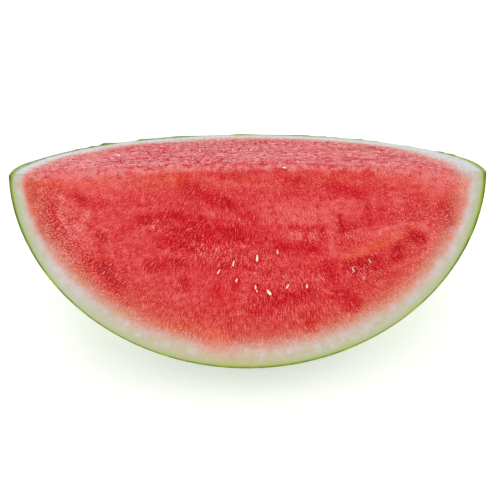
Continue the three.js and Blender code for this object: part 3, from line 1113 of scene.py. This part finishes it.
def makeFlesh():
    look = fleshLook
    material, tree, shader = newMaterial("melonFlesh")
    cut = CutFlesh(tree)
    thin = thinning(cut)
    inFlesh = (cut.under + thin).rise(*depths["flesh"])
    colour = markedColour(cut, rindColour(cut, thin), inFlesh)
    feed(tree, shader.inputs["Base Color"], wovenColour(cut, colour, inFlesh))
    uneven = cut.grains["Mottle"] * look["mottledRoughness"] - cut.marks["deep"] * look["deepGloss"]
    feed(tree, shader.inputs["Roughness"], uneven + look["roughness"])
    shader.inputs["IOR"].default_value = look["ior"]
    shader.inputs["Specular IOR Level"].default_value = look["gloss"]
    wet = cut.mix("wet") * cut.x.rise(*spans["calm"]).between(*look["coatAcross"]) + look["backCoat"]
    feed(tree, shader.inputs["Coat Weight"], (cut.onBack * wet + look["coat"]).within(0, 1))
    shader.inputs["Coat Roughness"].default_value = look["coatRoughness"]
    lumps = cut.grains["Lump"] * cut.fromCore.rise(*spans["backLumps"]) * look["backLumps"]
    height = (cut.mix("bump") + lumps) * inFlesh.between(*look["bumpInward"])
    bump(tree, shader, height, look["bumpDepth"])
    return material


skinLook = {
    "light": "93b054",
    "pale": "b3c877",
    "dark": "2c5524",
    "darkest": "1e4019",
    "fieldSpot": "d8cb86",
    # painted shade next to the cuts
    "shadeAtCut": "5c7f10",
    "jags": [(9, 4, 0.6, 2.6), (28, 2, 0.5, 1.6)],  # grain in mm, detail, roughness, strength
    "stripeEdge": (-0.05, 0.35),
    "net": (5, 3, 0.6),  # grain in mm, detail, roughness
    "netPale": (0.42, 0.62),
    "netDark": (0.4, 0.65),
    "spotReach": (58, 30),
    "spotted": 0.85,
    "cutEdge": (0.72, 0.78),  # radians round the melon
    "cutHump": (-40, 50),
    "cutAlong": (0.7, 1),
    "roughness": 0.36,
    "netRoughness": 0.15,
    "ior": 1.45,
    "pores": (1.2, 2, 0.5),
    "poreDepth": 0.05,
}


def makeSkin():
    look = skinLook
    material, tree, shader = newMaterial("melonSkin")
    place = placeInMm(tree)
    x, y, z = split(place)
    turn = y.turnFrom(axisHeight / mm - z)
    band = (turn * melon["ribCount"]).cosine()
    for grain, fineness, roughness, strength in look["jags"]:
        band = band + (noise(place, grain, fineness, roughness) - 0.5) * strength
    net = noise(place, *look["net"])
    colour = blendColour(net.rise(*look["netPale"]), look["light"], look["pale"])
    inStripe = blendColour(net.rise(*look["netDark"]), look["darkest"], look["dark"])
    colour = blendColour(band.rise(*look["stripeEdge"]), colour, inStripe)
    spot = x.hump(0, look["spotReach"][0]) * y.hump(0, look["spotReach"][1])
    colour = blendColour(spot * look["spotted"], colour, look["fieldSpot"])
    # painted shade: the skin darker green next to the cuts
    shadeAtCut = turn.size().rise(*look["cutEdge"]) * x.hump(*look["cutHump"]).between(*look["cutAlong"])
    colour = blendColour(shadeAtCut, colour, look["shadeAtCut"])
    feed(tree, shader.inputs["Base Color"], colour)
    feed(tree, shader.inputs["Roughness"], look["roughness"] + (net - 0.5) * look["netRoughness"])
    shader.inputs["IOR"].default_value = look["ior"]
    bump(tree, shader, noise(place, *look["pores"]), look["poreDepth"])
    return material


pipLook = {
    "light": "fbf1dd",
    # painted shade at the pip's sides
    "edge": "e8a27e",
    "amber": "f0a063",
    "ambered": 0.7,
    "edgeFrom": (0.45, 1),  # shares of the way from the pip's middle to its side
    "edged": 0.8,
    "roughness": 0.3,
    "mottle": (1.2, 2, 0.5),  # grain in mm, detail, roughness
    "pores": (0.5, 2, 0.5),
    "poreDepth": 0.04,
}


def makePipFinish():
    look = pipLook
    material, tree, shader = newMaterial("pipHusk")
    place = placeInMm(tree)
    across, amber = attribute(tree, "across"), attribute(tree, "amber")
    mottle = noise(place, *look["mottle"]) - 0.5
    colour = blendColour(amber * look["ambered"], look["light"], look["amber"])
    # painted shade: the pip more tan towards its sides
    edge = (across + mottle).rise(*look["edgeFrom"]) * look["edged"]
    feed(tree, shader.inputs["Base Color"], blendColour(edge, colour, look["edge"]))
    shader.inputs["Roughness"].default_value = look["roughness"]
    bump(tree, shader, noise(place, *look["pores"]), look["poreDepth"])
    return material


flesh = makeFlesh()
skin = makeSkin()
pipHusk = makePipFinish()
print("finishes made")


wedge = newObject("melonWedge", bpy.data.meshes.new("melonWedge"))
applyTree(wedge, makeWedgeTree(), {"Flesh": flesh, "Skin": skin})
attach(wedge, "root")
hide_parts("watermelon_wedge")
wedge.data.calc_loop_triangles()
print("wedge made,", len(wedge.data.loop_triangles), "triangles")

pipShape = {"thickness": 0.8, "taper": 0.5, "sunk": 0.4, "segments": 14, "rings": 9}


def makePipTree():
    sockets = {"Geometry": "Geometry", "Flesh": "Object", "Husk": "Material"}
    sockets |= {name.title(): value for name, value in pipShape.items()}
    tree, given = newGroup("pipRows", "GeometryNodeTree", sockets, {"Geometry": "Geometry"})
    ball = {"Segments": given["Segments"], "Rings": given["Rings"], "Radius": 0.5}
    drop = flow(tree, "GeometryNodeMeshUVSphere", ball)
    x, y, z = split(flow(tree, "GeometryNodeInputPosition"))
    drop = store(tree, drop, "across", x.size() * 2)
    slim = 1 - given["Taper"] * (z * 2).atLeast(0)
    drop = placed(tree, drop, combine(tree, x * slim, z, -y * slim))

    # Each seat moves onto the flesh, sinks in a little and lies along the cut
    body = out(addNode(tree, "GeometryNodeObjectInfo", {"Object": given["Flesh"]}), "Geometry")
    reach = {0: body, "Source Position": flow(tree, "GeometryNodeInputPosition")}
    onFlesh = flow(tree, "GeometryNodeProximity", reach, target_element="FACES")
    sampled = {"Mesh": body, "Value": flow(tree, "GeometryNodeInputNormal"), "Sample Position": onFlesh}
    outward = flow(tree, "GeometryNodeSampleNearestSurface", sampled, data_type="FLOAT_VECTOR")
    thick = stored(tree, "wide") * given["Thickness"]
    lift = thick * (0.5 - given["Sunk"])
    seated = vectorMath("ADD", onFlesh, vectorMath("SCALE", outward, scale=lift))
    seats = placed(tree, given["Geometry"], seated)
    turning = {"Axis": (0, 0, 1), "Angle": stored(tree, "turn")}
    leaning = {"Axis": (1, 0, 0), "Angle": stored(tree, "side") * -cuts["lean"]}
    spin, lean = (flow(tree, "FunctionNodeAxisAngleToRotation", by) for by in (turning, leaning))
    laid = flow(tree, "FunctionNodeRotateRotation", {0: spin, 1: lean}, rotation_space="GLOBAL")
    square = {"Rotation": laid, "Vector": outward}
    laid = flow(tree, "FunctionNodeAlignRotationToVector", square, axis="Z")
    size = combine(tree, stored(tree, "wide"), stored(tree, "long"), thick)
    copies = {"Points": seats, "Instance": drop, "Rotation": laid, "Scale": size}
    pips = flow(tree, "GeometryNodeInstanceOnPoints", copies)
    pips = flow(tree, "GeometryNodeRealizeInstances", {0: pips})
    pips = flow(tree, "GeometryNodeSetShadeSmooth", {0: pips, "Shade Smooth": True})
    pips = flow(tree, "GeometryNodeSetMaterial", {0: pips, "Material": given["Husk"]})
    closeGroup(tree, {"Geometry": pips})
    return tree


def makePips():
    places = []
    values = {"long": [], "wide": [], "turn": [], "side": [], "amber": []}
    for side, sign in sides.items():
        for seatX, seatDown, seatLong, seatWide, seatTurn, amber in pipSeats[side]:
            slope = seatDown * mm * halfRoot
            places.append((seatX * mm, sign * slope, axisHeight - slope))
            values["long"].append(seatLong * mm)
            values["wide"].append(seatWide * mm)
            values["amber"].append(amber)
            values["turn"].append(math.radians(seatTurn) + (0 if side == "front" else math.pi))
            values["side"].append(sign)
    mesh = bpy.data.meshes.new("pips")
    mesh.from_pydata(places, [], [])
    for name, numbers in values.items():
        mesh.attributes.new(name, "FLOAT", "POINT").data.foreach_set("value", numbers)
    pips = newObject("pips", mesh)
    applyTree(pips, makePipTree(), {"Flesh": wedge, "Husk": pipHusk})
    return pips


pips = makePips()
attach(pips, "root")
print("pips made")


studio = {
    "floorSize": 6,
    "floorDrop": 0.2 * mm,
    "floorTone": "fbfbfb",
    "floorRoughness": 0.8,
    "floorGlow": 0.3,  # keeps the shadows pale
    "world": 0.66,
    "white": (1, 1, 1, 1),
}


def makeStage():
    half, drop = studio["floorSize"] / 2, studio["floorDrop"]
    corners = [(x * half, y * half, -drop) for x, y in ((-1, -1), (1, -1), (1, 1), (-1, 1))]
    floorMesh = bpy.data.meshes.new("floor")
    floorMesh.from_pydata(corners, [], [(0, 1, 2, 3)])
    floor = newObject("floor", floorMesh)
    material, _, shader = newMaterial("paleFloor")
    shader.inputs["Base Color"].default_value = linear(studio["floorTone"])
    shader.inputs["Roughness"].default_value = studio["floorRoughness"]
    shader.inputs["Emission Color"].default_value = studio["white"]
    shader.inputs["Emission Strength"].default_value = studio["floorGlow"]
    floorMesh.materials.append(material)
    world = bpy.data.worlds.new("studio")
    world.use_nodes = True
    sky = world.node_tree.nodes["Background"]
    sky.inputs["Color"].default_value = studio["white"]
    sky.inputs["Strength"].default_value = studio["world"]
    bpy.context.scene.world = world


lampAim = (0, 0, 0.06)
lamps = {
    "glint": {"from": (-0.25, -1.3, 0.85), "size": 0.45, "power": 4.5, "tint": (1, 1, 1)},
    "top": {"from": (0.3, -0.2, 1.6), "size": 1.2, "power": 4, "tint": (1, 1, 1)},
    "rear": {"from": (-0.2, 1.1, 1.3), "size": 1.0, "power": 7, "tint": (0.86, 0.92, 1)},
}


def makeLamps():
    for name, lamp in lamps.items():
        light = bpy.data.lights.new(name, "AREA")
        light.size = lamp["size"]
        light.energy = lamp["power"]
        light.color = lamp["tint"]
        made = newObject(name, light)
        made.location = lamp["from"]
        aim = Vector(lampAim) - made.location
        made.rotation_euler = aim.to_track_quat("-Z", "Y").to_euler()


camera = {
    "aim": (0.00115, -0.02136, 0.06764),
    "elevation": 59.943,
    "roll": -0.323,
    "distance": 1.1034,
    "lens": 136.8,
    "sensor": 36,
}


def makeCamera():
    tilt, roll = math.radians(camera["elevation"]), math.radians(camera["roll"])
    data = bpy.data.cameras.new("camera")
    data.lens = camera["lens"]
    data.sensor_width = camera["sensor"]
    made = newObject("camera", data)
    turn = Matrix.Rotation(math.pi / 2 - tilt, 3, "X") @ Matrix.Rotation(roll, 3, "Z")
    back = Vector((0, -math.cos(tilt), math.sin(tilt)))
    place = Vector(camera["aim"]) + back * camera["distance"]
    made.matrix_world = Matrix.LocRotScale(place, turn, None)
    bpy.context.scene.camera = made


makeStage()
makeLamps()
makeCamera()
bpy.context.scene.view_settings.view_transform = "Standard"
print("stage set")
